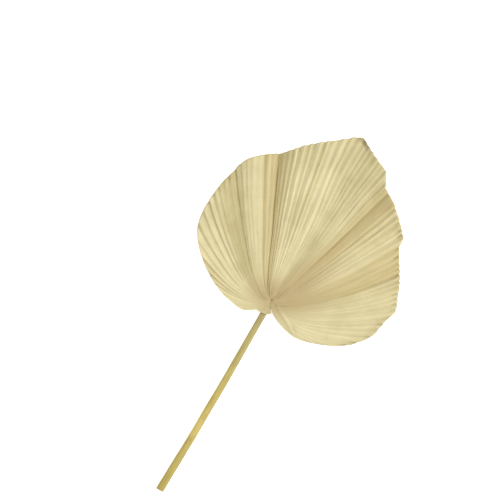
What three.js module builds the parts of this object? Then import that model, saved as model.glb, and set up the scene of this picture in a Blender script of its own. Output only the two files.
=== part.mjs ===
// A dried palm leaf, cut with its stalk and laid on a flat surface with its upper side up.
// The blade is one pleated fan. The stalk widens into a small head that lies under the middle of
// the fan, and the edge of the left lobe laps over the end of the stalk.
//
// Millimetres, +Z up. Both parts are shaped around the hub, the point where the pleats meet:
// +Y runs from the hub to the tip of the blade, and the cut end of the stalk is on -Y.
// Angles round the fan are in degrees from +Y, positive to the left.

import * as THREE from 'three';

// Stalk, measured from the hub to the cut end
const STALK_LENGTH = 242;
const STALK_HALF_WIDTH_AT_CUT = 4.25;
const STALK_HALF_WIDTH_AT_HEAD = 3.5;
const STALK_BOW = 1.2; // sideways bend at mid-length
const STALK_FLAT_LENGTH = 62; // the stretch by the cut end that lies on the surface
const STALK_CROWN = 1.5; // rounded upper side, above the two edges
const STALK_KEEL = 3.6; // deeper underside, below the two edges
const STALK_SIDES = 16;
const STALK_STEP = 8;

// Head of the stalk, an oval seen from above. It lies lower than the shaft, to pass under the blade.
const HEAD_HALF_WIDTH = 5.9;
const HEAD_HALF_LENGTH = 9.1;
const HEAD_MIDDLE_Y = -5.4;
const HEAD_END_Y = 3.6;
const HEAD_DROP = 1.87;
const DROP_START_Y = -20;
const DROP_END_Y = -7;
const HEAD_STEP = 1.2;

// Blade
const HUB_HEIGHT = 13; // height of the hub above the surface
const DOME_HEIGHT = 5; // how far the blade bulges between the hub and the margin
const SLOPE_LENGTH = 155; // distance from the hub at which the blade comes down to the surface
const THICKNESS_AT_HUB = 0.8;
const THICKNESS_AT_MARGIN = 0.5;
const THINNING_LENGTH = 25; // the blade thins out over about this distance from the hub

// Steps along a pleat: at these distances from the hub, and then evenly out to the margin
const INNER_STEPS = [4, 6.5, 9.5, 12, 14, 15.5, 17, 18.5, 20.5, 24];
const OUTER_STEPS = 10;

// The pleats start round a small oval eye in the middle of the fan.
const EYE_HALF_WIDTH = 1.3;
const EYE_HALF_LENGTH = 3;
const EYE_MIDDLE_Y = -1.5;
const EYE_PASSES = 8;

// A pleat leaves the hub turned further outwards than it ends, and the outer ones turn most.
const TURN_RATE = 0.26;
const TURN_RATE_AT_TIP = 0.02;
const STRAIGHT_UP_TO = 12; // pleats this near the tip are straight
const FULL_TURN_FROM = 45; // pleats this far from the tip turn at the full rate
const TURN_RADIUS = 132; // distance at which a pleat reaches its own angle
const TURN_OFFSET = 4;

// Close to the hub it turns further still, and the pleats halfway out to the side turn most.
const NEAR_TURN = 256;
const NEAR_TURN_OFFSET = 3;
const NEAR_TURN_FLOOR = 3.4;
const NEAR_TURN_LIMIT = 18;

// How far pleats lean off those paths, halfway out to the margin, at each angle
const LEAN = [
  [99, 5.5], [95, 3.5], [91, 1], [87, 0], [54, 0], [47, -0.9], [40, -0.4], [28, -0.9], [20, 1.4],
  [12, 0.4], [8, -0.6], [5, -3.4], [1, -3], [-5, -1.8], [-10, -1.4], [-17, -1], [-24, -1],
  [-30, 0], [-93, 0],
];
const LEAN_FROM = 165;
const LEAN_FULL_AT = 60;

// The left lobe's last pleats spread out across the end of the stalk, almost to the right lobe.
const LAP_FROM = 60; // the angle of the first pleat that takes part
const LAP_FULL_UP_TO = 13.4; // distance from the hub
const LAP_END = 19.5;
const LAP_SLIT = 6; // degrees left open between the two lobes

// Pleats from the edge of the left lobe, round the tip, to the edge of the right lobe.
// end is the angle where the group stops, crest is where the ridge stands between its two
// valleys, from the left one at 0 to the right one at 1, and depth is its height over its width.
// near is the share of that height close to the hub, and full is the distance where it is reached.
const FIRST_ANGLE = 99;
const LAST_ANGLE = -93;
const PLEAT_GROUPS = [
  { end: 76.5, pleats: 7, crest: 0.34, depth: 0.42, near: 0.1, full: 60 },
  { end: 59.0, pleats: 4, crest: 0.26, depth: 0.2, near: 0.1, full: 80 },
  { end: 47.2, pleats: 4, crest: 0.4, depth: 0.16, near: 0.3, full: 60 },
  { end: 33.8, pleats: 5, crest: 0.4, depth: 0.14, near: 0.4, full: 60 },
  { end: 28.0, pleats: 2, crest: 0.5, depth: 0.22, near: 0.5, full: 50 },
  { end: 22.5, pleats: 3, crest: 0.5, depth: 0.22, near: 0.5, full: 50 },
  { end: 9.7, pleats: 5, crest: 0.65, depth: 0.38, near: 0.5, full: 45 },
  { end: 0.0, pleats: 4, crest: 0.5, depth: 0.25, near: 0.3, full: 100 },
  { end: -10.8, pleats: 6, crest: 0.5, depth: 0.2, near: 0.1, full: 155 },
  { end: -13.8, pleats: 1, crest: 0.4, depth: 0.3, near: 0.0, full: 140 },
  { end: -17.6, pleats: 2, crest: 0.5, depth: 0.34, near: 0.0, full: 140 },
  { end: -24.0, pleats: 1, crest: 0.84, depth: 0.2, near: 0.1, full: 120 },
  { end: -34.3, pleats: 4, crest: 0.5, depth: 0.3, near: 0.45, full: 50 },
  { end: -38.8, pleats: 1, crest: 0.5, depth: 0.3, near: 0.3, full: 130 },
  { end: -49.2, pleats: 4, crest: 0.5, depth: 0.18, near: 0.2, full: 140 },
  { end: -54.2, pleats: 2, crest: 0.5, depth: 0.26, near: 0.2, full: 90 },
  { end: -67.5, pleats: 5, crest: 0.5, depth: 0.16, near: 0.4, full: 100 },
  { end: -93.0, pleats: 8, crest: 0.58, depth: 0.18, near: 0.3, full: 90 },
];
const NEAR_UP_TO = 0.25; // share of full up to which a pleat keeps its near height
const DEPTH_VARIATION = 0.4; // share by which one pleat is deeper or shallower than its group's
const WIDTH_VARIATION = 0.34; // share by which one pleat is wider or narrower

// Distance from the hub to the margin, at each angle
const MARGIN_REACH = [
  [99, 31], [97, 35], [93, 43], [89.5, 55], [85.5, 69], [81, 85], [76, 104], [73, 113], [68, 121],
  [60, 131], [52, 142], [48, 147], [46, 151.7], [42, 157], [35, 160], [27, 161.5], [22.5, 167],
  [16.5, 176], [8.5, 188], [5.7, 194.7], [3.7, 199.2], [2, 203], [0.6, 204.3], [0, 203.5],
  [-3.5, 197.5], [-8, 192], [-11.5, 189.5], [-13.5, 182], [-15.5, 176], [-20, 172.5],
  [-30, 164.5], [-36, 160.5], [-39, 151.5], [-43, 147.5], [-51, 143], [-60, 138.5],
  [-65.5, 137], [-69, 127.5], [-77, 116.5], [-83, 99], [-87, 75], [-90, 60], [-93, 46],
];

// How far the ridges stand out beyond the valleys, along the trimmed margin
const TEETH = [
  [99, 0.5], [26, 0.5], [22, 1.3], [3, 1.4], [0, 0.6], [-35, 0.6], [-37, 1.3], [-93, 1.3],
];

// Height of the margin's valleys above the surface: the dried blade is cockled in broad waves
const MARGIN_HEIGHT = [
  [99, 4], [85, 6], [63, 9], [47.2, 2], [40, 7], [34, 3], [28, 0], [22, 8], [9, 7], [-2, 6],
  [-17.6, 0.5], [-24, 7], [-38.8, 2], [-49.2, 0], [-53, 4], [-60, 2.5], [-67.5, 6], [-80, 4],
  [-93, 3],
];
const WAVE_GROWTH = 1.6; // the waves flatten out towards the hub

const straw = new THREE.MeshStandardMaterial({ color: 0xdccf9f, roughness: 0.75, metalness: 0 });
const cane = new THREE.MeshStandardMaterial({ color: 0xcbb76f, roughness: 0.55, metalness: 0 });

// A steady value between -1 and 1 for each whole number, different in each series
function scatter(index, series) {
  const wave = Math.sin(index * 12.9898 + series * 78.233) * 43758.5453;
  return 2 * (wave - Math.floor(wave)) - 1;
}

// The two values of a table on either side of an angle, and how far it stands between them.
// The angles of a table fall from first to last.
function valuesBeside(table, angle) {
  const reached = table.findIndex(([tableAngle]) => tableAngle <= angle);
  const next = reached < 0 ? table.length - 1 : Math.max(reached, 1);
  const [angleBefore, before] = table[next - 1];
  const [angleAfter, after] = table[next];
  const share = (angleBefore - angle) / (angleBefore - angleAfter);
  return { before, after, share: THREE.MathUtils.clamp(share, 0, 1) };
}

// Straight-line reading between the points of a table
function readAt(table, angle) {
  const { before, after, share } = valuesBeside(table, angle);
  return THREE.MathUtils.lerp(before, after, share);
}

// Reading of a table as a wave: each high point is rounded over and each low one is left sharp
function waveAt(table, angle) {
  const { before, after, share } = valuesBeside(table, angle);
  const quarter = (share * Math.PI) / 2;
  const climb = after > before ? Math.sin(quarter) : 1 - Math.cos(quarter);
  return THREE.MathUtils.lerp(before, after, climb);
}

// Joins closed loops of points into one body. The first and last loop are closed across their two
// halves, which face each other point for point.
function closedBody(rings, material, name) {
  const sides = rings[0].length;
  const positions = rings.flat().flatMap((point) => [point.x, point.y, point.z]);
  const triangles = [];
  for (let ring = 0; ring < rings.length - 1; ring++) {
    for (let side = 0; side < sides; side++) {
      const here = ring * sides + side;
      const beside = ring * sides + ((side + 1) % sides);
      triangles.push(here, beside, beside + sides, here, beside + sides, here + sides);
    }
  }
  const last = (rings.length - 1) * sides;
  for (let side = 0; side < sides / 2 - 1; side++) {
    const across = sides - 1 - side;
    triangles.push(side + 1, side, across, side + 1, across, across - 1);
    triangles.push(last + side, last + side + 1, last + across - 1);
    triangles.push(last + side, last + across - 1, last + across);
  }
  const geometry = new THREE.BufferGeometry();
  geometry.setAttribute('position', new THREE.Float32BufferAttribute(positions, 3));
  geometry.setIndex(triangles);
  geometry.computeVertexNormals();
  const mesh = new THREE.Mesh(geometry, material);
  mesh.name = name;
  return mesh;
}

// Half the width of the stalk at a place along it, with the oval head at its end
function stalkHalfWidth(y) {
  const along = (y + STALK_LENGTH) / STALK_LENGTH;
  const shaft = THREE.MathUtils.lerp(STALK_HALF_WIDTH_AT_CUT, STALK_HALF_WIDTH_AT_HEAD, along);
  const fromMiddle = (y - HEAD_MIDDLE_Y) / HEAD_HALF_LENGTH;
  const head = HEAD_HALF_WIDTH * Math.sqrt(Math.max(0, 1 - fromMiddle ** 2));
  return y > HEAD_MIDDLE_Y ? head : Math.max(head, shaft);
}

// One cross-section of the stalk: a low crown above its edges and a deeper keel below them
function stalkSection(y) {
  const along = (y + STALK_LENGTH) / STALK_LENGTH;
  const middle = STALK_BOW * Math.sin(Math.PI * THREE.MathUtils.clamp(along, 0, 1));
  const liftLength = STALK_LENGTH - STALK_FLAT_LENGTH;
  const rise = THREE.MathUtils.clamp((y + liftLength) / liftLength, 0, 1);
  const shaftHeight = STALK_KEEL + (HUB_HEIGHT - STALK_KEEL) * rise ** 2;
  const dropped = THREE.MathUtils.smoothstep(y, DROP_START_Y, DROP_END_Y);
  const halfWidth = stalkHalfWidth(y);
  const slimness = Math.min(1, halfWidth / STALK_HALF_WIDTH_AT_HEAD);
  const points = [];
  for (let side = 0; side < STALK_SIDES; side++) {
    const turn = (2 * Math.PI * side) / STALK_SIDES;
    const bulge = slimness * (Math.sin(turn) > 0 ? STALK_CROWN : STALK_KEEL);
    const x = middle + halfWidth * Math.cos(turn);
    const z = shaftHeight - HEAD_DROP * dropped + bulge * Math.sin(turn);
    points.push(new THREE.Vector3(x, y, z));
  }
  return points;
}

function makeStalk() {
  const headStart = HEAD_MIDDLE_Y - HEAD_HALF_LENGTH;
  const shaftSteps = Math.round((headStart + STALK_LENGTH) / STALK_STEP);
  const headSteps = Math.round((HEAD_END_Y - headStart) / HEAD_STEP);
  const sections = [];
  for (let step = 0; step < shaftSteps; step++) {
    sections.push(stalkSection(THREE.MathUtils.lerp(-STALK_LENGTH, headStart, step / shaftSteps)));
  }
  for (let step = 0; step <= headSteps; step++) {
    sections.push(stalkSection(THREE.MathUtils.lerp(headStart, HEAD_END_Y, step / headSteps)));
  }
  return closedBody(sections.reverse(), cane, 'stalk');
}

// The angle at which a pleat stands at some distance from the hub, before the left lobe laps over
function fanAngle(angle, distance) {
  const outer = THREE.MathUtils.smoothstep(Math.abs(angle), STRAIGHT_UP_TO, FULL_TURN_FROM);
  const rate = TURN_RATE_AT_TIP + TURN_RATE * outer;
  const turn = 1 + rate * Math.log((TURN_RADIUS + TURN_OFFSET) / (distance + TURN_OFFSET));
  const nearTurn = NEAR_TURN / (distance + NEAR_TURN_OFFSET) - NEAR_TURN_FLOOR;
  const halfwayOut = Math.sin(2 * THREE.MathUtils.degToRad(angle));
  const leaning = 1 - THREE.MathUtils.smoothstep(distance, LEAN_FULL_AT, LEAN_FROM);
  return (
    angle * turn +
    THREE.MathUtils.clamp(nearTurn, 0, NEAR_TURN_LIMIT) * halfwayOut +
    readAt(LEAN, angle) * leaning
  );
}

// The angle at which a pleat stands, with the left lobe lapped over the end of the stalk
function turnedAngle(angle, distance) {
  const between = 360 + fanAngle(LAST_ANGLE, distance) - fanAngle(FIRST_ANGLE, distance);
  const spread = THREE.MathUtils.smoothstep(angle, LAP_FROM, FIRST_ANGLE);
  const lap = spread * (1 - THREE.MathUtils.smoothstep(distance, LAP_FULL_UP_TO, LAP_END));
  return fanAngle(angle, distance) + lap * Math.max(0, between - LAP_SLIT);
}

// Where a line from the hub crosses the edge of the eye
function eyeDistance(angle) {
  const turned = THREE.MathUtils.degToRad(angle);
  const square =
    (Math.sin(turned) / EYE_HALF_WIDTH) ** 2 + (Math.cos(turned) / EYE_HALF_LENGTH) ** 2;
  const linear = (-2 * Math.cos(turned) * EYE_MIDDLE_Y) / EYE_HALF_LENGTH ** 2;
  const rest = (EYE_MIDDLE_Y / EYE_HALF_LENGTH) ** 2 - 1;
  return (-linear + Math.sqrt(linear ** 2 - 4 * square * rest)) / (2 * square);
}

// Where a pleat starts: its turn depends on the distance, so the two are settled in a few passes
function rootDistance(angle) {
  let distance = EYE_HALF_LENGTH;
  for (let pass = 0; pass < EYE_PASSES; pass++) {
    distance = eyeDistance(turnedAngle(angle, distance));
  }
  return distance;
}

// The widths of one group's pleats, in degrees. first is the number of its first pleat.
function pleatWidths(span, pleats, first) {
  const shares = [];
  for (let pleat = first; pleat < first + pleats; pleat++) {
    shares.push(1 + WIDTH_VARIATION * scatter(pleat, 1));
  }
  const total = shares.reduce((sum, share) => sum + share, 0);
  return shares.map((share) => (share * span) / total);
}

// Every valley and ridge of the fan, in order: its angle, its height over the distance from the
// hub, 1 for a ridge or 0 for a valley, and the group's near and full
function foldLines() {
  const [{ near, full }] = PLEAT_GROUPS;
  const lines = [{ angle: FIRST_ANGLE, slope: 0, ridge: 0, near, full }];
  let start = FIRST_ANGLE;
  let count = 0;
  for (const { end, pleats, crest, depth, ...rise } of PLEAT_GROUPS) {
    for (const width of pleatWidths(start - end, pleats, count)) {
      const height = depth * (1 + DEPTH_VARIATION * scatter(count, 2));
      const slope = height * THREE.MathUtils.degToRad(width);
      lines.push({ angle: start - crest * width, slope, ridge: 1, ...rise });
      lines.push({ angle: start - width, slope: 0, ridge: 0, ...rise });
      start -= width;
      count += 1;
    }
    start = end;
  }
  return lines;
}

// The distances from the hub of the points along one fold, from the eye to the margin
function stepDistances({ angle, ridge }) {
  const reach = readAt(MARGIN_REACH, angle) + readAt(TEETH, angle) * (ridge - 0.5);
  const distances = [rootDistance(angle), ...INNER_STEPS];
  const lastInner = INNER_STEPS.at(-1);
  for (let step = 1; step <= OUTER_STEPS; step++) {
    distances.push(THREE.MathUtils.lerp(lastInner, reach, step / OUTER_STEPS));
  }
  return distances;
}

// The upper and lower point of the blade on one fold, at a distance from the hub
function bladePoints({ angle, slope, near, full }, distance, reach) {
  const turned = THREE.MathUtils.degToRad(turnedAngle(angle, distance));
  const outward = Math.min(1, distance / SLOPE_LENGTH);
  const dome = HUB_HEIGHT * (1 - outward) + DOME_HEIGHT * Math.sin(Math.PI * outward);
  const wave = waveAt(MARGIN_HEIGHT, angle) * (distance / reach) ** WAVE_GROWTH;
  const risen = THREE.MathUtils.smoothstep(distance, NEAR_UP_TO * full, full);
  const fading = Math.exp(-distance / THINNING_LENGTH);
  const thickness = THREE.MathUtils.lerp(THICKNESS_AT_MARGIN, THICKNESS_AT_HUB, fading);
  const pleatHeight = slope * distance * THREE.MathUtils.lerp(near, 1, risen);
  const under = dome + wave + pleatHeight - (thickness - THICKNESS_AT_MARGIN) / 2;
  const x = -distance * Math.sin(turned);
  const y = distance * Math.cos(turned);
  return [new THREE.Vector3(x, y, under + thickness), new THREE.Vector3(x, y, under)];
}

// Each fold gives one closed loop of points: out along the lower side and back along the upper
function makeBlade() {
  const loops = foldLines().map((line) => {
    const upper = [];
    const lower = [];
    const distances = stepDistances(line);
    for (const distance of distances) {
      const [above, below] = bladePoints(line, distance, distances.at(-1));
      upper.push(above);
      lower.push(below);
    }
    return [...lower, ...upper.reverse()];
  });
  return closedBody(loops, straw, 'blade');
}

const leaf = new THREE.Group();
leaf.add(makeBlade(), makeStalk());

// The origin is at the middle of the leaf's outline, on the surface it lies on
const box = new THREE.Box3().setFromObject(leaf);
const centre = box.getCenter(new THREE.Vector3());
leaf.position.set(-centre.x, -centre.y, -box.min.z);
leaf.updateMatrixWorld(true);

export default leaf;
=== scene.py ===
# A dried fan palm leaf, cut with its stalk and laid flat with its upper side up.
# Metres, +Z up. +Y runs from the cut end of the stalk to the tip of the blade.
import math

import bpy
import numpy as np
from mathutils import Matrix, Vector


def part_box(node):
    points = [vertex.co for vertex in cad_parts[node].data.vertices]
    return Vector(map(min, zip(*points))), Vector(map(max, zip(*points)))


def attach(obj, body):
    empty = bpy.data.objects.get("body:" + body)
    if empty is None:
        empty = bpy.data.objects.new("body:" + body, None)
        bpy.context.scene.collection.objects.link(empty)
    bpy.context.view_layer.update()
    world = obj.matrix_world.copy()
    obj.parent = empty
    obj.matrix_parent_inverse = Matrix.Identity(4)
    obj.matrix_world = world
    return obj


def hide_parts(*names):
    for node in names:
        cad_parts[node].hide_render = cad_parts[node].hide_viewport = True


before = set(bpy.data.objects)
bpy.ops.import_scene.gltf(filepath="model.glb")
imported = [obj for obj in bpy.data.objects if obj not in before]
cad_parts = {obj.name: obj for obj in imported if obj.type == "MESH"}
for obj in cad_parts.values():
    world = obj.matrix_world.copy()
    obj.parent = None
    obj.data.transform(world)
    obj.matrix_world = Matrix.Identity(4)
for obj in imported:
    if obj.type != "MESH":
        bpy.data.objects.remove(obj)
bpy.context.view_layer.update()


# Stalk
# The leaf's own petiole, cut square and dried to a hard, yellow, slightly waxy cane. Its upper side
# is nearly flat between two thin edges and its underside is a rounded keel. It ends under the blade
# in a small brown head, which the pleats grow out of and cover.
MM = 0.001
STALK_LENGTH = 242  # from the hub, where the pleats meet, to the cut
STALK_HALF_WIDTH_AT_CUT = 4.25
STALK_HALF_WIDTH_AT_HEAD = 3.5
WIDTH_SWELL = 0.06  # how much its width swells and shrinks along it
WIDTH_SWELLS = 14
STALK_CROWN = 1.5  # how far the upper side rises above the edges
STALK_KEEL = 3.6  # how far the underside hangs below them
CROWN_SQUARENESS = 2.5  # 2 would be an oval
KEEL_SQUARENESS = 2.2
STALK_SIDES = 56
SHAFT_STEP = 1.5
HUB_HEIGHT = 13
STALK_FLAT_LENGTH = 62  # the stretch by the cut end that lies on the surface
SURFACE_CLEARANCE = 0.02
STALK_BOW = 1.2
STALK_SWAY = 0.25
STALK_SWAYS = 7
# A shallow groove along each edge of the upper side. Its place and its width are shares of the
# stalk's half width.
EDGE_GROOVE_DEPTH = 0.3
EDGE_GROOVE_PLACE = 0.8
EDGE_GROOVE_WIDTH = 0.1
# Coarse and fine ribs of fibre: height, number to a radian round the stalk, length, and series
FIBRE_RIBS = ((0.05, 7, 30, 22), (0.035, 3.2, 9, 23))

# Places along the head are measured from the hub, and are negative towards the cut.
HEAD_START = -24
HEAD_END = 3.6
HEAD_MIDDLE = -5.4
HEAD_HALF_WIDTH = 5.9
HEAD_HALF_LENGTH = 9.1
HEAD_STEPS = 56
HEAD_BLEND = 0.8  # softness of the change from the shaft to the head
HEAD_BLEND_LIMIT = 0.35
HEAD_DROP = 1.5  # how far the head sinks, to lie under the blade
DROP_STRETCH = (-20, -9)
HEAD_SHIFT = 1  # how far it bends to the left
SHIFT_STRETCH = (-20, -4)
NOSE_START = -2  # from here the head bends down and thins to its tip
NOSE_DROP = 1.2
NOSE_CROWN_LOSS = 0.8
NOSE_KEEL_LOSS = 0.4
BROWN_STRETCH = (-24, -11)

CUT_FACE_RINGS = (0.02, 0.25, 0.45, 0.65, 0.82, 0.94)  # rings of points, as shares of the rim
CUT_FACE_HOLLOW = 0.35
CUT_FACE_UNEVENNESS = 0.1
CUT_FACE_STRIDE = 100  # keeps the unevenness of one ring unlike the next one's
CUT_BEVEL_SHARE = 0.015
CUT_BEVEL_LENGTH = 0.2

# Sizes of the cane's markings in mm: across, along and upright
FIBRE_SIZE = (0.45, 26, 0.45)
STRAND_SIZE = (1.6, 60, 1.6)
MOTTLE_SIZE = (3.5, 13, 3.5)
CLOUD_SIZE = (30, 42, 30)
BUNDLE_SIZE = (0.62, 40, 0.62)
# Each marking: the values between which it grows to its full strength, that strength, and its
# colour as it looks on a screen
CANE_COLOUR = (174, 155, 80)
CANE_BRIGHTER = (0.36, 0.64, 1, (193, 176, 98))
GREYER_BY_BLADE = (120, 235, 1, (163, 151, 104))
BROWNER_BY_CUT = (75, 5, 0.8, (162, 142, 72))
BROWN_PATCHES = (0.52, 0.72, 0.55, (160, 136, 78))
GREEN_PATCHES = (0.46, 0.3, 0.4, (176, 172, 92))
DARK_EDGES = (0.84, 0.99, 0.6, (128, 116, 62))
DULL_UNDERSIDE = (1, 0, 0.25, (170, 150, 88))
HEAD_COLOUR = (168, 150, 104)
HEAD_UNEVENNESS = (0.3, 0.6, 0.75, 1)  # a noise's low and high values, and the strength at each
PITH_COLOUR = (206, 186, 138)
FIBRE_BUNDLES = (0.42, 0.16, 1, (112, 82, 48))
# How dark and how light the low and high values of a noise make the base
MOST_NOISE = (0.3, 0.7)  # nearly all values of a noise lie between these
STRAND_SHADES = (0.9, 1.08)
FIBRE_SHADES = (0.88, 1.08)
PITH_SHADES = (0.8, 1.1)
CANE_ROUGHNESS = (0.42, 0.62)
CUT_FACE_ROUGHNESS = 0.85
CANE_SPECULAR = 0.4
FIBRE_RELIEF = 0.7
MOTTLE_RELIEF = 0.5
BUNDLE_RELIEF = 0.8
CANE_RELIEF_DEPTH = 0.12

stalk_low, stalk_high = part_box("stalk")
hub = Vector(((stalk_low.x + stalk_high.x) / 2, stalk_low.y + STALK_LENGTH * MM, 0))

# Large uneven numbers that scatter the values of a row of whole numbers
NUMBER_STRIDE = 12.9898
SERIES_STRIDE = 78.233
SCATTER_SIZE = 43758.5453
ROW_STRIDE = 57


def scatter(number, series):
    """A steady value from -1 to 1 for each whole number, different in each series."""
    wave = np.sin(np.asarray(number) * NUMBER_STRIDE + series * SERIES_STRIDE) * SCATTER_SIZE
    return 2 * (wave - np.floor(wave)) - 1


def smooth_step(start, end, value):
    """A share from 0 to 1 that eases in and out as the value goes from start to end."""
    share = np.clip((value - start) / (end - start), 0, 1)
    return share * share * (3 - 2 * share)


def wander(across, along, series):
    """A smooth, steady swell from -1 to 1 over a plane, with about one hump to a unit."""
    column, row = np.floor(across), np.floor(along)
    right = smooth_step(0, 1, across - column)
    up = smooth_step(0, 1, along - row)
    numbers = [column + x + ROW_STRIDE * (row + y) for y in (0, 1) for x in (0, 1)]
    corners = [scatter(number, series) for number in numbers]
    near = corners[0] + (corners[1] - corners[0]) * right
    far = corners[2] + (corners[3] - corners[2]) * right
    return near + (far - near) * up


def ring_faces(rings, points):
    """Faces between closed rings of points, as an array of point, ring and corner."""
    point, ring = np.meshgrid(np.arange(points), np.arange(rings - 1), indexing="ij")
    here = ring * points + point
    beside = ring * points + (point + 1) % points
    return np.stack([here, beside, beside + points, here + points], -1)


def make_piece(name, places, faces, values, bake_places):
    """A smooth mesh, from places in mm about the hub and one number a vertex for each value."""
    mesh = bpy.data.meshes.new(name)
    mesh.from_pydata(places * MM + np.array(hub), [], faces)
    for value_name, numbers in values.items():
        layer = mesh.attributes.new(value_name, "FLOAT", "POINT")
        layer.data.foreach_set("value", np.asarray(numbers, np.float32).ravel())
    bake_map = mesh.uv_layers.new(name="OFBake")
    bake_map.uv.foreach_set("vector", np.asarray(bake_places, np.float32).ravel())
    mesh.shade_smooth()
    piece = bpy.data.objects.new(name, mesh)
    bpy.context.scene.collection.objects.link(piece)
    return piece


def colour(screen_colour):
    """A colour given as it looks on a screen, from 0 to 255, by the standard screen curve."""
    shares = np.array(screen_colour) / 255
    linear = np.where(shares > 0.04045, ((shares + 0.055) / 1.055) ** 2.4, shares / 12.92)
    return (*linear.tolist(), 1.0)


class Finish:
    """A material built node by node. Each method adds nodes and gives back the last one's output."""

    def __init__(self, name):
        self.material = bpy.data.materials.new(name)
        self.material.use_nodes = True
        self.tree = self.material.node_tree
        self.shader = self.tree.nodes["Principled BSDF"]
        self.place = self.add("ShaderNodeTexCoord", {}, "Object")

    def feed(self, socket, value):
        if isinstance(value, bpy.types.NodeSocket):
            self.tree.links.new(value, socket)
        else:
            socket.default_value = value

    def add(self, kind, inputs, output=0, **settings):
        node = self.tree.nodes.new(kind)
        for name, value in settings.items():
            setattr(node, name, value)
        for socket, value in inputs.items():
            self.feed(node.inputs[socket], value)
        return node.outputs[output]

    def value(self, name):
        return self.add("ShaderNodeAttribute", {}, "Fac", attribute_name=name)

    def maths(self, operation, first, second=0.0, third=0.0):
        inputs = {0: first, 1: second, 2: third}
        return self.add("ShaderNodeMath", inputs, operation=operation)

    def span(self, value, low, high, to_low=0.0, to_high=1.0):
        inputs = {"Value": value, "From Min": low, "From Max": high}
        inputs |= {"To Min": to_low, "To Max": to_high}
        return self.add("ShaderNodeMapRange", inputs)

    def vector(self, x, y, z):
        return self.add("ShaderNodeCombineXYZ", {0: x, 1: y, 2: z})

    def stretched(self, x, y, z):
        """The place on the piece, in humps of x, y and z mm."""
        scale = (1 / (x * MM), 1 / (y * MM), 1 / (z * MM))
        return self.add("ShaderNodeMapping", {"Vector": self.place, "Scale": scale})

    def noise(self, vector, detail=2.0, roughness=0.5):
        inputs = {"Vector": vector, "Scale": 1.0, "Detail": detail, "Roughness": roughness}
        return self.add("ShaderNodeTexNoise", inputs)

    def mix(self, share, first, second, blend="MIX"):
        """Two colours mixed. Inputs 6 and 7 and output 2 are the node's sockets for colours."""
        inputs = {0: share, 6: first, 7: second}
        return self.add("ShaderNodeMix", inputs, 2, data_type="RGBA", blend_type=blend)

    def mark(self, base, value, marking):
        """The base with a marking on it, stronger as a value goes from its start to its full place."""
        start, full, strength, screen_colour = marking
        return self.mix(self.span(value, start, full, 0, strength), base, colour(screen_colour))

    def shade(self, base, value, shades, between=MOST_NOISE):
        """The base made darker or lighter as a value runs from low to high."""
        level = self.span(value, *between, *shades)
        return self.mix(1.0, base, self.vector(level, level, level), "MULTIPLY")

    def finish(self, base, roughness, height, depth_mm):
        bump = {"Height": height, "Distance": depth_mm * MM, "Strength": 1.0}
        self.feed(self.shader.inputs["Base Color"], base)
        self.feed(self.shader.inputs["Roughness"], roughness)
        self.feed(self.shader.inputs["Normal"], self.add("ShaderNodeBump", bump))
        return self.material


def stalk_half_width(along):
    """Half the width of the stalk, with the head's oval blended into the shaft."""
    share = (along + STALK_LENGTH) / STALK_LENGTH
    shaft = STALK_HALF_WIDTH_AT_CUT + (STALK_HALF_WIDTH_AT_HEAD - STALK_HALF_WIDTH_AT_CUT) * share
    shaft = shaft + WIDTH_SWELL * wander(share * WIDTH_SWELLS, 0 * share, series=21)
    from_middle = (along - HEAD_MIDDLE) / HEAD_HALF_LENGTH
    oval = HEAD_HALF_WIDTH * np.sqrt(np.clip(1 - from_middle**2, 0, 1))
    blended = (shaft + oval + np.sqrt((shaft - oval) ** 2 + HEAD_BLEND)) / 2
    blended = np.minimum(blended, np.maximum(shaft, oval) + HEAD_BLEND_LIMIT)
    return np.where(along > HEAD_MIDDLE, oval, blended)


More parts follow.
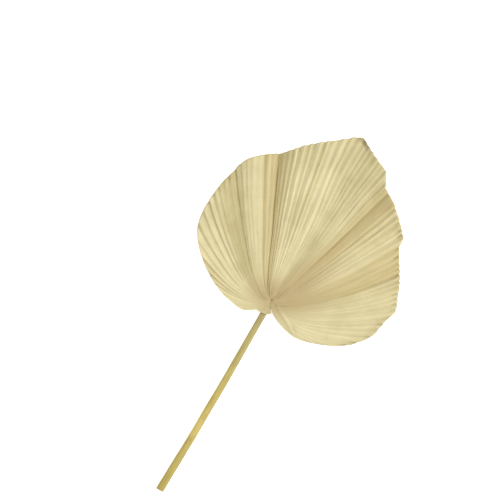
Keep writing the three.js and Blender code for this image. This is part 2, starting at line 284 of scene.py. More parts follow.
def stalk_rings():
    """The stalk's cross-sections from the cut to the tip of the head."""
    shaft_steps = round((HEAD_START + STALK_LENGTH) / SHAFT_STEP)
    shaft = np.linspace(-STALK_LENGTH, HEAD_START, shaft_steps, endpoint=False)
    head = np.linspace(HEAD_START, HEAD_END, HEAD_STEPS)
    along = np.concatenate([shaft, head])[:, None]
    turn = np.linspace(0, 2 * math.pi, STALK_SIDES, endpoint=False)[None, :]
    upper = np.sin(turn) > 0
    power = np.where(upper, 2 / CROWN_SQUARENESS, 2 / KEEL_SQUARENESS)
    out = np.sign(np.cos(turn)) * np.abs(np.cos(turn)) ** power
    up = np.sign(np.sin(turn)) * np.abs(np.sin(turn)) ** power
    half_width = stalk_half_width(along)
    slimness = np.clip(half_width / STALK_HALF_WIDTH_AT_HEAD, 0, 1)
    nose = smooth_step(NOSE_START, HEAD_END, along)
    dropped = smooth_step(*DROP_STRETCH, along)
    crown = STALK_CROWN * slimness * (1 - NOSE_CROWN_LOSS * nose)
    keel = STALK_KEEL * slimness * (1 - NOSE_KEEL_LOSS * nose)

    off_groove = (np.abs(out) - EDGE_GROOVE_PLACE) / EDGE_GROOVE_WIDTH
    edge_groove = EDGE_GROOVE_DEPTH * np.exp(-(off_groove**2)) * upper * (1 - dropped)
    ribs = sum(
        height * wander(turn * number, along / length, series)
        for height, number, length, series in FIBRE_RIBS
    )
    lift_length = STALK_LENGTH - STALK_FLAT_LENGTH
    rise = np.clip((along + lift_length) / lift_length, 0, 1)
    edge_height = STALK_KEEL + (HUB_HEIGHT - STALK_KEEL) * rise**2
    edge_height = edge_height - NOSE_DROP * nose - HEAD_DROP * dropped
    share = np.clip((along + STALK_LENGTH) / STALK_LENGTH, 0, 1)
    sway = STALK_SWAY * wander(share * STALK_SWAYS, 0 * share, series=24)
    middle = STALK_BOW * np.sin(math.pi * share) + sway
    middle = middle - HEAD_SHIFT * smooth_step(*SHIFT_STRETCH, along)

    x = middle + (half_width + ribs * slimness) * out
    y = along + 0 * turn
    z = edge_height + np.where(upper, crown, keel) * up - edge_groove * slimness
    z = np.maximum(z + ribs * slimness * up, SURFACE_CLEARANCE)
    return np.stack([x, y, z], -1), out, upper


def cut_face_rings(rim):
    """Rings of points over the cut, hollowed a little and bevelled at the rim."""
    centre = rim.mean(0)
    rings = []
    for number, share in enumerate(CUT_FACE_RINGS):
        steady = np.arange(STALK_SIDES) + CUT_FACE_STRIDE * number
        uneven = CUT_FACE_UNEVENNESS * scatter(steady, series=25)
        hollow = CUT_FACE_HOLLOW * (1 - share**2) + uneven * (1 - share)
        rings.append(centre + (rim - centre) * share + np.outer(hollow, (0, 1, 0)))
    inwards = np.array((CUT_BEVEL_SHARE, 0, CUT_BEVEL_SHARE))
    return [*rings, rim * (1 - inwards) + centre * inwards]


def make_stalk():
    rings, out, upper = stalk_rings()
    face_rings = cut_face_rings(rings[0])
    rings[0, :, 1] += CUT_BEVEL_LENGTH
    places = np.concatenate([np.array(face_rings), rings])
    count = len(places)
    quads = ring_faces(count, STALK_SIDES)
    last_ring = (count - 1) * STALK_SIDES
    sides = np.arange(STALK_SIDES)
    faces = quads[..., ::-1].reshape(-1, 4).tolist()
    faces += [sides.tolist(), (last_ring + sides[::-1]).tolist()]

    bake_edge = 0.01
    point, ring = np.meshgrid(sides, np.arange(count - 1), indexing="ij")
    round_it = np.stack([point, point + 1, point + 1, point], -1) / STALK_SIDES
    along_it = np.stack([ring, ring, ring + 1, ring + 1], -1) / count
    bake_places = np.stack([round_it, along_it], -1)[:, :, ::-1].reshape(-1, 2)
    ends = [np.stack([sides / STALK_SIDES, np.full(STALK_SIDES, level)], -1) for level in (0, 1)]
    bake_places = bake_edge + (1 - 2 * bake_edge) * np.concatenate([bake_places, *ends])

    ring_number = np.arange(count)[:, None] + 0 * sides
    along = places[..., 1]
    values = {
        "from_cut": along + STALK_LENGTH,
        "side_edge": np.abs(out) + 0 * ring_number,
        "upper_side": upper + 0 * ring_number,
        "cut_face": ring_number < len(face_rings),
        "head": smooth_step(*BROWN_STRETCH, along),
    }
    return make_piece("stalk_cane", places.reshape(-1, 3), faces, values, bake_places)


def cane_finish():
    """Waxy cane: long fibres, mottled olive and brown, greyer by the blade, browner at the cut."""
    cane = Finish("dried_cane")
    from_cut = cane.value("from_cut")
    fibres = cane.noise(cane.stretched(*FIBRE_SIZE), detail=3, roughness=0.55)
    strands = cane.noise(cane.stretched(*STRAND_SIZE))
    mottle = cane.noise(cane.stretched(*MOTTLE_SIZE), detail=3, roughness=0.6)
    clouds = cane.noise(cane.stretched(*CLOUD_SIZE))
    base = cane.mark(colour(CANE_COLOUR), clouds, CANE_BRIGHTER)
    base = cane.mark(base, from_cut, GREYER_BY_BLADE)
    base = cane.mark(base, from_cut, BROWNER_BY_CUT)
    base = cane.mark(base, mottle, BROWN_PATCHES)
    base = cane.mark(base, mottle, GREEN_PATCHES)
    base = cane.shade(base, strands, STRAND_SHADES)
    base = cane.shade(base, fibres, FIBRE_SHADES)
    base = cane.mark(base, cane.value("side_edge"), DARK_EDGES)
    base = cane.mark(base, cane.value("upper_side"), DULL_UNDERSIDE)
    head = cane.maths("MULTIPLY", cane.value("head"), cane.span(mottle, *HEAD_UNEVENNESS))
    base = cane.mix(head, base, colour(HEAD_COLOUR))

    cut_face = cane.value("cut_face")
    cells = cane.add("ShaderNodeTexVoronoi", {"Vector": cane.stretched(*BUNDLE_SIZE), "Scale": 1.0})
    pith = cane.mark(colour(PITH_COLOUR), cells, FIBRE_BUNDLES)
    base = cane.mix(cut_face, base, cane.shade(pith, mottle, PITH_SHADES))

    height = cane.maths("MULTIPLY", mottle, MOTTLE_RELIEF)
    height = cane.maths("MULTIPLY_ADD", fibres, FIBRE_RELIEF, height)
    bundles = cane.maths("MULTIPLY", cane.span(cells, *FIBRE_BUNDLES[:2]), cut_face)
    height = cane.maths("MULTIPLY_ADD", bundles, BUNDLE_RELIEF, height)
    roughness = cane.span(mottle, *MOST_NOISE, *CANE_ROUGHNESS)
    cut_roughness = cane.maths("MULTIPLY", cut_face, CUT_FACE_ROUGHNESS)
    roughness = cane.maths("MAXIMUM", roughness, cut_roughness)
    cane.shader.inputs["Specular IOR Level"].default_value = CANE_SPECULAR
    return cane.finish(base, roughness, height, CANE_RELIEF_DEPTH)


stalk = make_stalk()
stalk.data.materials.append(cane_finish())
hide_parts("stalk")
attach(stalk, "root")


# Blade
# One sheet of leaf tissue, stiff with long veins and folded into 68 pleats that fan out from the
# stalk's head. It was dried flat, so it is cockled in waves, and its margin was trimmed by hand.
# Angles round the fan are in degrees from the tip, positive to the left, and lengths are in mm.
DOME_HEIGHT = 5
SLOPE_LENGTH = 155
THICKNESS_AT_HUB = 0.8
THICKNESS_AT_MARGIN = 0.5
THINNING_LENGTH = 25
BLADE_ROWS = 58
HUB_ROWS_SHARE = 0.75  # the rows stand closer at the hub by this share, and at the margin by the rest
HUB_ROWS_GROWTH = 1.25
FLANK = (0, 0.1, 0.26, 0.5, 0.74, 0.9)  # columns of points from a valley towards its ridge
ROOT_HALF_WIDTH = 0.7
ROOT_HALF_LENGTH = 1.8
ROOT_MIDDLE = -0.9
ROOT_PASSES = 8
ROOT_DIVE = 1  # the roots of the pleats sink this far into the head
ROOT_DIVE_LENGTH = 1.6

# A pleat leaves the hub turned further outwards than it ends, and the outer ones turn most.
TURN_RATE = 0.26
TURN_RATE_AT_TIP = 0.02
STRAIGHT_UP_TO = 12
FULL_TURN_FROM = 45
TURN_RADIUS = 132
TURN_OFFSET = 4
# Close to the hub it turns further still, and the pleats halfway out to the side turn most.
NEAR_TURN = 256
NEAR_TURN_OFFSET = 3
NEAR_TURN_FLOOR = 3.4
NEAR_TURN_LIMIT = 18
# How many degrees pleats lean off those paths, at each angle. They don't at the margin.
LEAN = (
    (99, 5.5), (95, 3.5), (91, 1), (87, 0), (54, 0), (47, -0.9), (40, -0.4), (28, -0.9), (20, 1.4),
    (12, 0.4), (8, -0.6), (5, -3.4), (1, -3), (-5, -1.8), (-10, -1.4), (-17, -1), (-24, -1),
    (-30, 0), (-93, 0),
)
LEAN_STRETCH = (165, 60)  # distances between which the lean grows to the full
# The left lobe's last pleats spread out across the end of the stalk, almost to the right lobe.
LAP_FROM = 60
LAP_STRETCH = (19.5, 13.4)
LAP_SLIT = 2.5  # degrees left open between the lobes

# Each row is a group of like pleats: the angle where it stops, its number of pleats, where their
# ridges stand from the left valley at 0 to the right one at 1, their height over their width at
# the margin, the share of that height near the hub, and the distance where they reach it in full.
FIRST_ANGLE = 99
LAST_ANGLE = -93
PLEAT_GROUPS = (
    (76.5, 7, 0.34, 0.42, 0.1, 60),
    (59.0, 4, 0.26, 0.135, 0.1, 80),
    (47.2, 4, 0.4, 0.07, 0.3, 60),
    (33.8, 5, 0.4, 0.07, 0.4, 60),
    (28.0, 2, 0.5, 0.18, 0.5, 50),
    (22.5, 3, 0.5, 0.15, 0.5, 50),
    (9.7, 5, 0.65, 0.38, 0.5, 45),
    (0.0, 4, 0.5, 0.25, 0.3, 100),
    (-10.8, 6, 0.5, 0.15, 0.05, 155),
    (-13.8, 1, 0.4, 0.3, 0.0, 140),
    (-17.6, 2, 0.5, 0.34, 0.0, 140),
    (-24.0, 1, 0.84, 0.2, 0.1, 120),
    (-34.3, 4, 0.5, 0.3, 0.45, 50),
    (-38.8, 1, 0.5, 0.3, 0.3, 130),
    (-49.2, 4, 0.5, 0.12, 0.05, 145),
    (-54.2, 2, 0.5, 0.24, 0.2, 90),
    (-67.5, 5, 0.5, 0.085, 0.4, 100),
    (-93.0, 8, 0.58, 0.14, 0.3, 90),
)
DEPTH_VARIATION = 0.4
WIDTH_VARIATION = 0.34
RISE_FROM = 0.25  # pleats begin to rise at this share of the distance where they reach their height
PLEAT_SWELL = 0.28
PLEAT_SWELL_LENGTH = 34
PLEAT_SWELL_STRIDE = 2.3
STEEP_FOLD = 0.012  # height over distance from the hub, where a fold's stain and painted shade are full
LEAST_FOLDED = 0.15
# A stretch gives the two distances from the hub between which a thing grows to its full size.
# Sideways drift of each fold, in degrees: size, stride from fold to fold, length and series
DRIFTS = ((0.25, 3.7, 34, 32), (0.07, 5.3, 11, 33))
DRIFT_STRETCH = (15, 60)
# Ridges are rounded over and valleys a little, as shares of a pleat.
RIDGE_ROUNDING = 0.05
RIDGE_ROUNDING_AT_HUB = 0.08
RIDGE_ROUNDING_LENGTH = 30
VALLEY_ROUNDING = 0.06

# Distance from the hub to the margin at each angle
MARGIN_REACH = (
    (99, 31), (97, 35), (93, 43), (89.5, 55), (85.5, 69), (81, 85), (76, 104), (73, 113), (68, 121),
    (60, 131), (52, 142), (48, 147), (46, 151.7), (42, 157), (35, 160), (27, 161.5), (22.5, 167),
    (16.5, 176), (8.5, 188), (5.7, 194.7), (3.7, 199.2), (2, 203), (0.6, 204.3), (0, 203.5),
    (-3.5, 197.5), (-8, 192), (-11.5, 189.5), (-13.5, 182), (-15.5, 176), (-20, 172.5),
    (-30, 164.5), (-36, 160.5), (-39, 151.5), (-43, 147.5), (-51, 143), (-60, 138.5),
    (-65.5, 137), (-69, 127.5), (-77, 116.5), (-83, 99), (-87, 75), (-90, 60), (-93, 46),
)
# Height of the margin's valleys above the surface at each angle
MARGIN_HEIGHT = (
    (99, 4), (85, 6), (63, 9), (47.2, 2), (40, 7), (34, 3), (28, 0), (22, 8), (9, 7), (-2, 6),
    (-17.6, 0.5), (-24, 7), (-38.8, 2), (-49.2, 0), (-53, 4), (-60, 2.5), (-67.5, 6), (-80, 4),
    (-93, 3),
)
WAVE_GROWTH = 1.6
# Small cockles: height, width in degrees, length and series
COCKLES = ((0.3, 3.2, 26, 35), (0.16, 1.3, 10, 36))
COCKLE_STRETCH = (12, 50)
COCKLE_ROOM = 2  # height above the surface at which cockles reach their full size
# How far the ridges stand out beyond the valleys, along the trimmed margin
TEETH = ((99, 0.5), (26, 0.5), (22, 1.3), (3, 1.4), (0, 0.6), (-35, 0.6), (-37, 1.3), (-93, 1.3))
# How much steeper the pleats get in the last few mm before the margin
PINCH = (
    (99, 0.3), (66, 0.6), (58, 2), (49, 4), (46, 0.2), (-34, 0.2), (-42, 0.9), (-50, 0.6),
    (-56, 2), (-93, 2.2),
)
PINCH_STRETCH = (13, 1)  # from the margin
NICKS = 0.22  # unevenness of the cut between one tooth and the next
NICK_STRIDE = 1.7

# How pale (1) or dull (-1) the dried tissue is at each angle, and how tan
PALENESS = (
    (99, 0.1), (92, 0.4), (80, 0.2), (67, 0.5), (60, -0.2), (53, -0.7), (49, -1.1), (46, -0.5),
    (42, 0.2), (40, 0.4), (36, 0.1), (33.5, -0.4), (31, 0), (28, -0.5), (23.5, -0.6), (21.5, 0.4),
    (8, 0.4), (3, 0.4), (-4, -0.5), (-7, -0.3), (-10, -0.1), (-12, 0.2), (-15, -0.1), (-19, 0.8),
    (-22.5, 0.1), (-27, 0.6), (-31, 0.1), (-36, 0.8), (-42, -0.4), (-47, -0.5), (-51, 0.2), (-55, 0),
    (-59, 0.7), (-66, 0.4), (-76, 0.6), (-84, 0.1), (-93, 0.2),
)
TANNED = (
    (99, 0.1), (60, 0.05), (36, 0.05), (34.6, 0.15), (33, 0.8), (31, 0.5), (29, 0.6),
    (27, 0.55), (23.5, 0.45), (21.5, 0), (-13, 0.1), (-16.5, 0.5), (-18, 1), (-21.5, 0.95),
    (-23.3, 0.25), (-35, 0.1), (-39, 0.55), (-48, 0.7), (-50.5, 0.25), (-58, 0.15), (-93, 0.1),
)
# Valleys that are pressed in deeper than the rest, and darkened by stain and painted shade: angle,
# strength, and the distance from the hub where the valley reaches that
DEEP_VALLEYS = (
    (72.5, 0.4, 70), (63, 0.6, 70), (59, 0.4, 70), (47.2, 0.4, 60), (28, 1, 20),
    (22.5, 0.4, 30), (-17.6, 0.6, 90), (-24, 0.3, 80), (-49.2, 0.12, 70),
)
DEEP_FROM = 0.3  # a deep valley begins at this share of that distance
DEEP_PRESS = 0.9
DEEP_STRETCH = (4, 18)
DEEP_ROOM = (0.6, 3.6)  # heights above the surface between which it is pressed in fully
# Valleys that are creased only near the hub: angle, strength and how far the crease runs
HUB_CREASES = (
    (59, 0.5, 24), (47.2, 0.7, 26), (40, 0.5, 20), (34, 0.5, 28), (28, 0.6, 30), (24, 1, 26),
    (17, 0.6, 20), (13, 0.4, 20), (-10.8, 0.8, 18), (-17.6, 0.7, 30), (-24, 0.5, 20),
    (-38.8, 0.5, 22), (-49.2, 0.6, 24),
)
CREASE_PRESS = 0.8
CREASE_STRETCH = (3, 8)
CREASE_FADE = 3

# The right lobe's edge is rolled under near the hub, along a rounded fold: distance and bearing
ROLL_PATH = ((0, -88), (4, -93), (16, -112), (29, -114), (46, -118), (60, -123))
ROLL_HEIGHT = 0.9
ROLL_HALF_WIDTH = 2
ROLL_FALL = 0.08
ROLL_FALL_WIDTH = 9
ROLL_GROOVE = 0.4
ROLL_GROOVE_PLACE = 3
ROLL_GROOVE_HALF_WIDTH = 1.3
ROLL_START = (3, 9)
ROLL_END = (58, 34)

# How strongly the valleys are darkened at the margin, by brown stain and painted shade
MARKED = ((99, 0.25), (26, 0.25), (22, 0.6), (-9, 0.6), (-14, 0.25), (-30, 1), (-93, 1))
MARK_STRETCH = (13, 1)  # from the margin
TIP_STAIN_ANGLE = -0.4
TIP_STAIN_HALF_WIDTH = 2.2
TIP_STAIN_STRETCH = (8, 1)  # from the margin
# How far the leaf is browned round the hub, at each bearing
BROWNED_TO = (
    (200, 20), (150, 17), (120, 21), (100, 30), (60, 31), (20, 28), (0, 30), (-15, 82), (-35, 76),
    (-65, 62), (-85, 40), (-110, 24), (-160, 18),
)
BROWN_EDGE = 1.4  # the browning begins at this share of that distance, and is full at the next
BROWN_CORE = 0.3
PALENESS_VARIATION = 0.22
TAN_MIDDLE = 0.85
TAN_VARIATION = 0.3
TAN_STREAK_WIDTH = 0.9  # degrees
TAN_STREAK_LENGTH = 45

# Veins, bundles of them and cross veins: width, length and detail
VEINS = (0.6, 34, 2)
VEIN_BUNDLES = (1.9, 60, 3)
CROSS_VEINS = (3.4, 1.3, 2)
VEIN_STRETCH = (12, 70)
UNDERSIDE_SHIFT = 40  # keeps the veins of the two sides unlike each other
BLOTCH_SIZE = (24, 24, 24)
GRAIN_SIZE = (1.3, 1.3, 1.3)
SPECK_SIZE = (1.6, 1.6, 1.6)
CLOUDINESS = (0.35, 0.65, -0.3, 0.3)  # a noise's low and high values, and the paleness at each

# Each marking: the values between which it grows to its full strength, that strength, and its
# colour as it looks on a screen
LEAF_COLOUR = (173, 161, 114)
PALER = (-1, 1, 1, (212, 201, 158))
# Creases near the hub are darkened: partly stain, partly painted shade
CREASE_STAIN_AND_SHADE = (0.35, 1, 0.6, (120, 98, 62))
# Valley ends by the margin are darkened: partly brown stain, partly painted shade
MARGIN_STAIN_AND_SHADE = (0.25, 0.9, 0.75, (124, 112, 56))
CUT_EDGE = (0.9, 0.1, 0.4, (150, 132, 84))
SPECKS = (0.75, 0.785, 0.55, (112, 90, 54))
DULLER_UNDERSIDE = (0, 1, 0.3, (158, 146, 104))
TAN_COLOUR = (182, 161, 107)
# Colour of the valleys' darkening: partly brown stain, partly painted shade
FOLD_STAIN_AND_SHADE_COLOUR = (128, 112, 66)
HUB_COLOUR = (171, 151, 107)
TIP_COLOUR = (104, 84, 50)
# A noise's low and high values, and the strength of a stain at each
TAN_UNEVENNESS = (0.3, 0.6, 0.55, 1)
HUB_BROWN_UNEVENNESS = (0.3, 0.6, 0.6, 0.9)
TIP_UNEVENNESS = (0.3, 0.5, 0.55, 1)
MARK_UNEVENNESS = (0.4, 0.6, 0, 1)
FOLD_STRETCH = (0.3, 0)  # from a valley at 0 to a ridge at 1
# Valley darkening, partly stain and partly painted shade, for steep folds and for deep valleys
FOLD_STAIN_AND_SHADE = 0.22
DEEP_STAIN_AND_SHADE = 0.45
STAIN_AND_SHADE_STRETCH = (8, 45)

# How dark and how light each pattern makes the base
VEIN_BUNDLE_SHADES = (0.92, 1.06)
VEIN_SHADES = (0.95, 1.04)
CROSS_VEIN_SHADES = (0.975, 1.02)
GRAIN_SHADES = (0.98, 1.02)
# A painted highlight: the ridges are painted lighter than the rest of each pleat
RIDGE_PAINTED_HIGHLIGHT = (1, 1.05)
RIDGE_STRETCH = (0.55, 1)  # from a valley at 0 to a ridge at 1
LEAF_ROUGHNESS = (0.55, 0.72)
LEAF_SPECULAR = 0.35
CROSS_VEIN_RELIEF = 0.5
LEAF_RELIEF_DEPTH = 0.07


def pleat_rows():
    """One row a pleat: left valley's angle, width, ridge's place, slope, share at hub and rise."""
    rows = []
    start = FIRST_ANGLE
    for end, pleats, crest, depth, near, risen in PLEAT_GROUPS:
        numbers = len(rows) + np.arange(pleats)
        shares = 1 + WIDTH_VARIATION * scatter(numbers, series=1)
        widths = (start - end) * shares / shares.sum()
        slopes = depth * (1 + DEPTH_VARIATION * scatter(numbers, series=2)) * np.radians(widths)
        for width, slope in zip(widths, slopes):
            rows.append((start, width, crest, slope, near, risen))
            start -= width
        start = end
    return np.array(rows)


def read_at(table, angle):
    """Straight-line reading of a table whose angles fall from first to last."""
    angles, values = np.array(table).T
    return np.interp(-angle, -angles, values)


def waved_at(table, angle):
    """Like read_at, with each high place rounded over and each low one left sharp."""
    angles, values = np.array(table).T
    after = np.clip(np.searchsorted(-angles, -angle), 1, len(angles) - 1)
    share = (angles[after - 1] - angle) / (angles[after - 1] - angles[after])
    first, second = values[after - 1], values[after]
    climb = np.where(second > first, np.sin(share * math.pi / 2), 1 - np.cos(share * math.pi / 2))
    return first + (second - first) * climb


def fan_angle(angle, distance):
    """The angle at which a pleat stands at some distance from the hub, lobes apart."""
    rate = TURN_RATE_AT_TIP + TURN_RATE * smooth_step(STRAIGHT_UP_TO, FULL_TURN_FROM, np.abs(angle))
    nearness = np.log((TURN_RADIUS + TURN_OFFSET) / (distance + TURN_OFFSET))
    near_turn = NEAR_TURN / (distance + NEAR_TURN_OFFSET) - NEAR_TURN_FLOOR
    near_turn = np.clip(near_turn, 0, NEAR_TURN_LIMIT)
    lean = read_at(LEAN, angle) * smooth_step(*LEAN_STRETCH, distance)
    return angle * (1 + rate * nearness) + near_turn * np.sin(2 * np.radians(angle)) + lean


def turned_angle(angle, distance):
    """The angle at which a pleat stands, with the left lobe lapped over the end of the stalk."""
    between = 360 + fan_angle(LAST_ANGLE, distance) - fan_angle(FIRST_ANGLE, distance)
    lap = smooth_step(LAP_FROM, FIRST_ANGLE, angle) * smooth_step(*LAP_STRETCH, distance)
    return fan_angle(angle, distance) + lap * np.maximum(between - LAP_SLIT, 0)


def root_distance(angle):
    """Where each pleat leaves the small oval eye. Its turn depends on that, so it takes passes."""
    distance = np.full_like(angle, ROOT_HALF_LENGTH)
    for settling in range(ROOT_PASSES):
        turned = np.radians(turned_angle(angle, distance))
        square = (np.sin(turned) / ROOT_HALF_WIDTH) ** 2 + (np.cos(turned) / ROOT_HALF_LENGTH) ** 2
        linear = -2 * np.cos(turned) * ROOT_MIDDLE / ROOT_HALF_LENGTH**2
        rest = (ROOT_MIDDLE / ROOT_HALF_LENGTH) ** 2 - 1
        distance = (-linear + np.sqrt(linear**2 - 4 * square * rest)) / (2 * square)
    return distance


def blade_columns(pleats):
    """The lines of points that run out along the pleats, each with its pleat and its fold."""
    flank = np.array(FLANK)
    last = len(pleats) - 1
    fold = np.concatenate([flank, 1 + flank])  # 0 at the left valley, 1 at the ridge, 2 at the right
    folds = (2 * np.arange(len(pleats))[:, None] + fold).ravel()
    folds = np.append(folds, 2 * len(pleats))
    number = np.minimum(folds // 2, last).astype(int)
    start, width, crest, slope, near, risen = pleats[number].T
    on_right = folds - 2 * number
    share = np.where(on_right < 1, crest * on_right, crest + (1 - crest) * (on_right - 1))
    return folds, number, start - width * share, slope, near, risen


def fold_drift(folds, distance):
    """How far each fold wanders sideways, in degrees, the same on both sides of a fold."""
    before = np.floor(folds)
    drift = [
        sum(
            size * wander(fold * stride, distance / length, series)
            for size, stride, length, series in DRIFTS
        )
        for fold in (before, before + 1)
    ]
    return (drift[0] + (drift[1] - drift[0]) * (folds - before)) * smooth_step(*DRIFT_STRETCH, distance)


def pleat_profile(from_valley, distance):
    """Height across a pleat, from 0 in the valley to nearly 1 on its rounded ridge."""
    rounding = RIDGE_ROUNDING + RIDGE_ROUNDING_AT_HUB * np.exp(-distance / RIDGE_ROUNDING_LENGTH)
    rounded_off = rounding * np.log1p(np.exp(-(1 - from_valley) / rounding)) / math.log(2)
    profile = np.clip(from_valley - rounded_off, 0, 1)
    return np.sqrt(profile**2 + VALLEY_ROUNDING**2) - VALLEY_ROUNDING


def rolled_edge(bearing, distance):
    """Height of the rounded fold along the right lobe's rolled edge."""
    roll_distances, roll_bearings = np.array(ROLL_PATH).T
    off_roll = np.radians(bearing - np.interp(distance, roll_distances, roll_bearings)) * distance
    off_groove = (off_roll - ROLL_GROOVE_PLACE) / ROLL_GROOVE_HALF_WIDTH
    rolled = ROLL_HEIGHT * np.exp(-((off_roll / ROLL_HALF_WIDTH) ** 2))
    rolled = rolled - ROLL_FALL * np.clip(-off_roll, 0, ROLL_FALL_WIDTH)
    rolled = rolled - ROLL_GROOVE * np.exp(-(off_groove**2))
    return rolled * smooth_step(*ROLL_START, distance) * smooth_step(*ROLL_END, distance)


def blade_sheet():
    """Both sides of the blade as columns and rows of points, with what varies over them."""
    pleats = pleat_rows()
    folds, number, angle, slope, near, risen = [part[:, None] for part in blade_columns(pleats)]
    evenly = np.linspace(0, 1, BLADE_ROWS)[None, :]
    step = HUB_ROWS_SHARE * evenly**HUB_ROWS_GROWTH + (1 - HUB_ROWS_SHARE) * (1 - (1 - evenly) ** 2)
    from_valley = 1 - np.abs(folds % 2 - 1)
    nick = NICKS * wander(folds * NICK_STRIDE, 0 * folds, series=31)
    scallop = np.sqrt(1 - (1 - from_valley) ** 2) - 0.5
    reach = read_at(MARGIN_REACH, angle) + read_at(TEETH, angle) * scallop + nick
    root = root_distance(angle)
    distance = root + (reach - root) * step
    to_margin = reach - distance
    turned = np.radians(turned_angle(angle, distance) + fold_drift(folds, distance))
    bearing = np.degrees(turned)

    rise = near + (1 - near) * smooth_step(RISE_FROM * risen, risen, distance)
    rise = rise * (1 + read_at(PINCH, angle) * smooth_step(*PINCH_STRETCH, to_margin))
    swell = wander(number * PLEAT_SWELL_STRIDE, distance / PLEAT_SWELL_LENGTH, series=34)
    pleat_height = slope * distance * rise * (1 + PLEAT_SWELL * swell)

    valley_angles = np.append(pleats[:, 0], pleats[-1, 0] - pleats[-1, 1])

    def near_valley(valley_angle):
        """1 on the valley nearest to an angle, falling to 0 on the ridges beside it."""
        nearest = 2 * np.abs(valley_angles - valley_angle).argmin()
        return np.clip(1 - np.abs(folds - nearest), 0, 1)

    deep = sum(
        strength * near_valley(at) * smooth_step(DEEP_FROM * full_at, full_at, distance)
        for at, strength, full_at in DEEP_VALLEYS
    )
    creased = sum(
        strength * near_valley(at) * np.exp(-((distance / run) ** CREASE_FADE))
        for at, strength, run in HUB_CREASES
    )

    outward = np.clip(distance / SLOPE_LENGTH, 0, 1)
    dome = HUB_HEIGHT * (1 - outward) + DOME_HEIGHT * np.sin(math.pi * outward)
    wave = waved_at(MARGIN_HEIGHT, angle) * step**WAVE_GROWTH
    cockle = sum(
        height * wander(angle / width, distance / length, series)
        for height, width, length, series in COCKLES
    )
    cockle = cockle * smooth_step(*COCKLE_STRETCH, distance) * np.clip((dome + wave) / COCKLE_ROOM, 0, 1)
    low, high = DEEP_ROOM
    press = DEEP_PRESS * deep * np.clip((dome + wave - low) / (high - low), 0, 1)
    press = press * smooth_step(*DEEP_STRETCH, distance)
    press = press + CREASE_PRESS * creased * smooth_step(*CREASE_STRETCH, distance)
    dive = ROOT_DIVE * np.exp(-(distance - root) / ROOT_DIVE_LENGTH)
    under = dome + wave + pleat_height * pleat_profile(from_valley, distance) + cockle - press
    under = under + rolled_edge(bearing, distance) - dive

    thinning = np.exp(-distance / THINNING_LENGTH)
    thickness = THICKNESS_AT_MARGIN + (THICKNESS_AT_HUB - THICKNESS_AT_MARGIN) * thinning
    under = np.maximum(under - (thickness - THICKNESS_AT_MARGIN) / 2, SURFACE_CLEARANCE)
    x = -distance * np.sin(turned)
    y = distance * np.cos(turned)

    browned_to = read_at(BROWNED_TO, bearing)
    off_tip = (angle - TIP_STAIN_ANGLE) / TIP_STAIN_HALF_WIDTH
    streaks = wander(angle / TAN_STREAK_WIDTH, distance / TAN_STREAK_LENGTH, series=38)
    # The valleys' ends by the margin are darkened: partly brown stain, partly painted shade
    marks = read_at(MARKED, angle) * smooth_step(*MARK_STRETCH, to_margin) * (1 - from_valley)
    whole = 0 * x
    values = {
        "across": whole - np.radians(angle) * TURN_RADIUS,
        "outward": distance,
        "to_margin": to_margin,
        "ridge": whole + from_valley,
        "folded": np.clip(slope * rise / STEEP_FOLD, LEAST_FOLDED, 1),
        "deep": deep,
        "creased": creased,
        "browned": smooth_step(BROWN_EDGE * browned_to, BROWN_CORE * browned_to, distance),
        "margin_marks": marks,
        "tip_stain": smooth_step(*TIP_STAIN_STRETCH, to_margin) * np.exp(-(off_tip**2)),
        "pale": whole + read_at(PALENESS, angle) + PALENESS_VARIATION * scatter(number, series=37),
        "tanned": read_at(TANNED, angle) * (TAN_MIDDLE + TAN_VARIATION * streaks),
    }
    return np.stack([x, y, under + thickness], -1), np.stack([x, y, under], -1), values


def blade_bake_places(flat, faces, quad_count, rows, columns):
    """Places on the bake map: the upper side on its left half and the underside on its right half.

    The rims lie round the upper side and reach 1 mm out from it.
    """
    map_border = 0.02
    half_map = (0.48, 0.96)
    other_half = (0.5, 0)
    leaf_border = 3
    points = 2 * rows
    low, high = flat.min(0) - leaf_border, flat.max(0) + leaf_border
    bake_places = ((flat - low) / (high - low) * half_map + map_border)[faces]

    row_of_quad = np.repeat(np.arange(points), columns - 1)
    on_underside = np.zeros(len(faces), bool)
    on_underside[:quad_count] = row_of_quad < rows - 1
    on_rim = np.ones(len(faces), bool)
    on_rim[:quad_count] = (row_of_quad == rows - 1) | (row_of_quad == points - 1)
    bake_places[on_underside] += other_half
    outwards = flat / np.linalg.norm(flat, axis=1, keepdims=True) * half_map / (high - low)
    corners = faces[on_rim]
    bake_places[on_rim] += outwards[corners] * (corners % points < rows)[..., None]
    return bake_places


def make_blade():
    upper, lower, values = blade_sheet()
    columns, rows = upper.shape[:2]
    places = np.concatenate([lower, upper[:, ::-1]], 1)
    points = 2 * rows
    quads = ring_faces(columns, points).reshape(-1, 4)
    row = np.arange(rows - 1)
    near_edge = np.stack([row + 1, row, points - 1 - row, points - 2 - row], -1)
    far_edge = near_edge[:, ::-1] + (columns - 1) * points
    faces = np.concatenate([quads, near_edge, far_edge])
    flat = places[..., :2].reshape(-1, 2)
    bake_places = blade_bake_places(flat, faces, len(quads), rows, columns)

    both_sides = {
        name: np.concatenate([numbers, numbers[:, ::-1]], 1) for name, numbers in values.items()
    }
    both_sides["underside"] = (np.arange(points) < rows) + 0 * places[..., 0]
    return make_piece(
        "blade_sheet", places.reshape(-1, 3), faces.tolist(), both_sides, bake_places.reshape(-1, 2)
    )


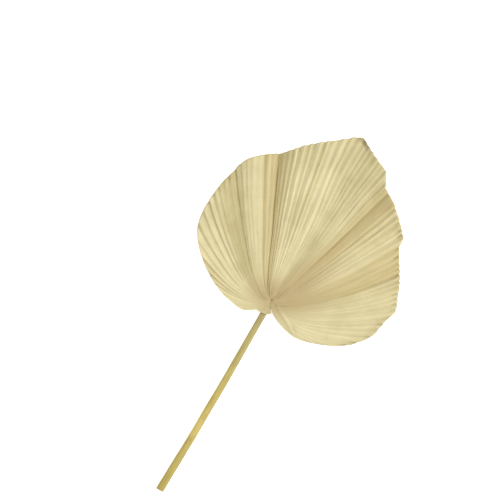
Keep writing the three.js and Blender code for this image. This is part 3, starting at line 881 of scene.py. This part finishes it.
def straw_finish():
    """Dry leaf tissue: fine veins along the pleats, pale and tan bands, folds in stain and painted
    shade.
    """
    straw = Finish("dried_leaf")
    across, outward, ridge = [straw.value(name) for name in ("across", "outward", "ridge")]
    underside = straw.value("underside")
    other_side = straw.maths("MULTIPLY", underside, UNDERSIDE_SHIFT)

    def along_veins(width, length, detail):
        x = straw.maths("DIVIDE", across, width)
        y = straw.maths("DIVIDE", outward, length)
        return straw.noise(straw.vector(x, y, other_side), detail)

    veins = along_veins(*VEINS)
    bundles = along_veins(*VEIN_BUNDLES)
    cross_veins = along_veins(*CROSS_VEINS)
    blotches = straw.noise(straw.stretched(*BLOTCH_SIZE), detail=3, roughness=0.55)
    grain = straw.noise(straw.stretched(*GRAIN_SIZE), roughness=0.6)
    vein_depth = straw.span(outward, *VEIN_STRETCH)

    paleness = straw.maths("ADD", straw.span(blotches, *CLOUDINESS), straw.value("pale"))
    base = straw.mark(colour(LEAF_COLOUR), paleness, PALER)
    tan = straw.maths("MULTIPLY", straw.value("tanned"), straw.span(blotches, *TAN_UNEVENNESS))
    base = straw.mix(tan, base, colour(TAN_COLOUR))
    streaked = straw.shade(base, bundles, VEIN_BUNDLE_SHADES)
    streaked = straw.shade(streaked, veins, VEIN_SHADES)
    base = straw.mix(vein_depth, base, streaked)
    base = straw.shade(base, cross_veins, CROSS_VEIN_SHADES)
    base = straw.shade(base, grain, GRAIN_SHADES)
    # Painted highlight: the ridges are painted lighter
    base = straw.shade(base, ridge, RIDGE_PAINTED_HIGHLIGHT, RIDGE_STRETCH)

    # The valleys are darkened, more where a fold is steep or deep: partly stain, partly painted shade
    stain_and_shade = straw.maths("MULTIPLY", straw.value("folded"), FOLD_STAIN_AND_SHADE)
    stain_and_shade = straw.maths("MULTIPLY_ADD", straw.value("deep"), DEEP_STAIN_AND_SHADE, stain_and_shade)
    stain_and_shade = straw.maths("MULTIPLY", straw.span(ridge, *FOLD_STRETCH), stain_and_shade)
    stain_and_shade = straw.maths("MULTIPLY", stain_and_shade, straw.span(outward, *STAIN_AND_SHADE_STRETCH))
    base = straw.mix(stain_and_shade, base, colour(FOLD_STAIN_AND_SHADE_COLOUR))
    hub_unevenness = straw.span(blotches, *HUB_BROWN_UNEVENNESS)
    browned = straw.maths("MULTIPLY", straw.value("browned"), hub_unevenness)
    base = straw.mix(browned, base, colour(HUB_COLOUR))
    # The creases near the hub are darkened: partly stain, partly painted shade
    base = straw.mark(base, straw.value("creased"), CREASE_STAIN_AND_SHADE)

    # Valley ends by the margin darkened: partly brown stain, partly painted shade
    mark_unevenness = straw.span(bundles, *MARK_UNEVENNESS)
    marks = straw.maths("MULTIPLY", straw.value("margin_marks"), mark_unevenness)
    base = straw.mark(base, marks, MARGIN_STAIN_AND_SHADE)
    tip = straw.maths("MULTIPLY", straw.value("tip_stain"), straw.span(grain, *TIP_UNEVENNESS))
    base = straw.mix(tip, base, colour(TIP_COLOUR))
    base = straw.mark(base, straw.value("to_margin"), CUT_EDGE)
    base = straw.mark(base, straw.noise(straw.stretched(*SPECK_SIZE), detail=1), SPECKS)
    base = straw.mark(base, underside, DULLER_UNDERSIDE)

    height = straw.maths("MULTIPLY", straw.maths("ADD", veins, bundles), vein_depth)
    height = straw.maths("MULTIPLY_ADD", cross_veins, CROSS_VEIN_RELIEF, height)
    roughness = straw.span(grain, *MOST_NOISE, *LEAF_ROUGHNESS)
    straw.shader.inputs["Specular IOR Level"].default_value = LEAF_SPECULAR
    return straw.finish(base, roughness, height, LEAF_RELIEF_DEPTH)


blade = make_blade()
blade.data.materials.append(straw_finish())
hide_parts("blade")
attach(blade, "root")


# Surface, light and camera
# A plain white surface, one large soft light from the photograph's right, and a camera that looks
# straight down on the leaf, turned so that the stalk comes from the lower left.
CAMERA_HEIGHT = 2.2
VIEW_WIDTH = 549
VIEW_TURN = math.radians(30.4)
VIEW_CENTRE_FROM_HUB = (-23.65, 55.55)
LIGHT_BEARING = math.radians(8)  # from the picture's right-hand side
LIGHT_ELEVATION = math.radians(48)
LIGHT_SPREAD = math.radians(25)
LIGHT_STRENGTH = 1.9
ROOM_STRENGTH = 0.85
WHITE = (1, 1, 1, 1)
SURFACE_SIZE = 8
SURFACE_COLOUR = (0.95, 0.95, 0.95, 1)
SURFACE_ROUGHNESS = 0.8
SURFACE_GLOW = 0.55  # keeps it plain white, with hardly a shadow

view_turn = Matrix.Rotation(VIEW_TURN, 3, "Z")
view_centre = hub + view_turn @ Vector((*VIEW_CENTRE_FROM_HUB, 0)) * MM

bpy.ops.mesh.primitive_plane_add(size=SURFACE_SIZE)
surface = bpy.context.object
surface.name = "surface"
white = Finish("white_surface")
white.shader.inputs["Base Color"].default_value = SURFACE_COLOUR
white.shader.inputs["Roughness"].default_value = SURFACE_ROUGHNESS
white.shader.inputs["Emission Color"].default_value = WHITE
white.shader.inputs["Emission Strength"].default_value = SURFACE_GLOW
surface.data.materials.append(white.material)

sun = bpy.data.lights.new("soft_light", "SUN")
sun.energy = LIGHT_STRENGTH
sun.angle = LIGHT_SPREAD
light = bpy.data.objects.new("soft_light", sun)
bearing = VIEW_TURN + LIGHT_BEARING
towards_light = Vector((math.cos(bearing), math.sin(bearing), math.tan(LIGHT_ELEVATION)))
light.rotation_euler = towards_light.to_track_quat("Z", "Y").to_euler()
bpy.context.scene.collection.objects.link(light)

room = bpy.data.worlds.new("room")
room.use_nodes = True
room.node_tree.nodes["Background"].inputs["Color"].default_value = WHITE
room.node_tree.nodes["Background"].inputs["Strength"].default_value = ROOM_STRENGTH
bpy.context.scene.world = room
bpy.context.scene.view_settings.view_transform = "Standard"

lens = bpy.data.cameras.new("camera")
lens.angle = 2 * math.atan(VIEW_WIDTH * MM / 2 / CAMERA_HEIGHT)
camera = bpy.data.objects.new("camera", lens)
camera.location = view_centre + Vector((0, 0, CAMERA_HEIGHT))
camera.rotation_euler = (0, 0, VIEW_TURN)
bpy.context.scene.collection.objects.link(camera)
bpy.context.scene.camera = camera
